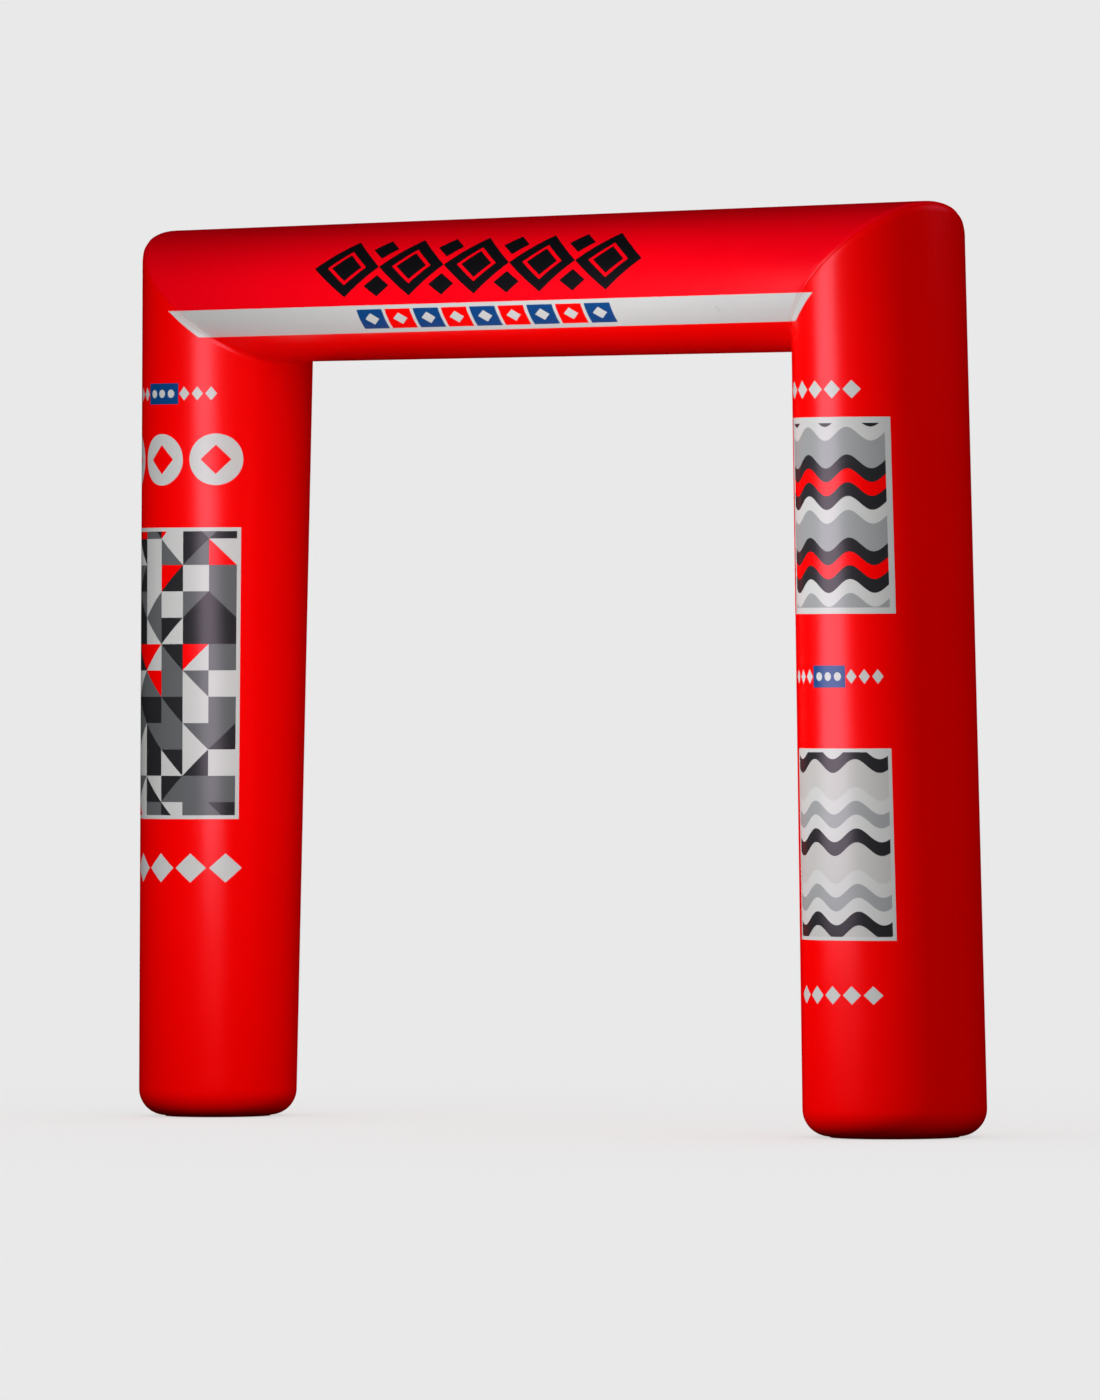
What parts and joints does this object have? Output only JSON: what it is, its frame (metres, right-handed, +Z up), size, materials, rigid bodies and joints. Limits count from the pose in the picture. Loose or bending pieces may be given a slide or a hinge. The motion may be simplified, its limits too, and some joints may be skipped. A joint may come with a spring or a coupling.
{
  "type": "inflatable arch",
  "caption": "Air-filled fabric arch: round legs and a crossbar sewn together at soft mitred corners, with a white band across the front, to walk or run through at an event.",
  "frame": {"origin": "on the ground at the middle of the arch's box, midway between the outer sides of the legs", "axes": "+X along the crossbar towards the fuller leg, +Y to the back, so that the front with the band faces -Y, and +Z up"},
  "size_m": [3.78, 0.62, 3.055],
  "materials": {
    "leg_fabric": "satin coated fabric, stretched tight by air",
    "crossbar_fabric": "satin coated fabric, stretched tight by air, with a printed white band",
    "base_fabric": "heavier matt coated fabric"
  },
  "bodies": {
    "root": {"left_leg": "leg_fabric", "right_leg": "leg_fabric", "crossbar": "crossbar_fabric", "left_base": "base_fabric", "right_base": "base_fabric"}
  },
  "joints": []
}
